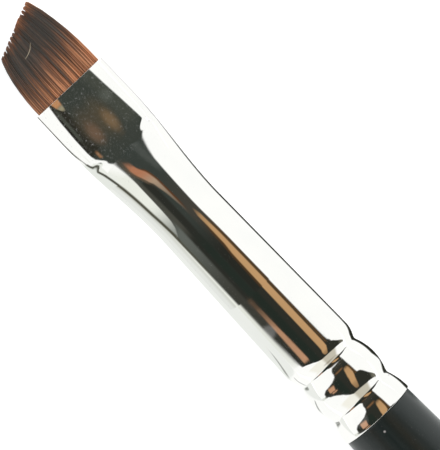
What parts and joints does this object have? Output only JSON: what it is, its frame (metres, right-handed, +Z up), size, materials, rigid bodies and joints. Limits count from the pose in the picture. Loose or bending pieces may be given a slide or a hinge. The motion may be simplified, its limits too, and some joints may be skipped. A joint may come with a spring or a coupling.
{
  "type": "face painting brush",
  "caption": "Slim face painting brush with a flat, slant-cut tuft of synthetic filament, a pressed and crimped bright metal ferrule and a turned, black lacquered wooden handle.",
  "frame": {"origin": "on the ground, under the middle of the brush's box, with the brush lying level on its belly", "axes": "+X along the brush from the filaments to the tail of the handle, +Z up, on the side that the ferrule's upper flat faces, and +Y towards the long side of the slanted tuft"},
  "size_m": [0.1772, 0.0078, 0.0078],
  "materials": {
    "filament": "fine tapered nylon filament, dark brown, lit red-brown at the edges and the roots",
    "epoxy": "cured amber resin, smooth",
    "nickel": "bright nickel-plated brass, polished, fine handling marks",
    "wood_glue": "cured wood glue, dull",
    "black_lacquer": "hardwood under satin black lacquer"
  },
  "bodies": {
    "root": {"filament_tuft": "filament", "root_epoxy": "epoxy", "ferrule": "nickel", "tenon_glue": "wood_glue", "handle": "black_lacquer"}
  },
  "joints": []
}
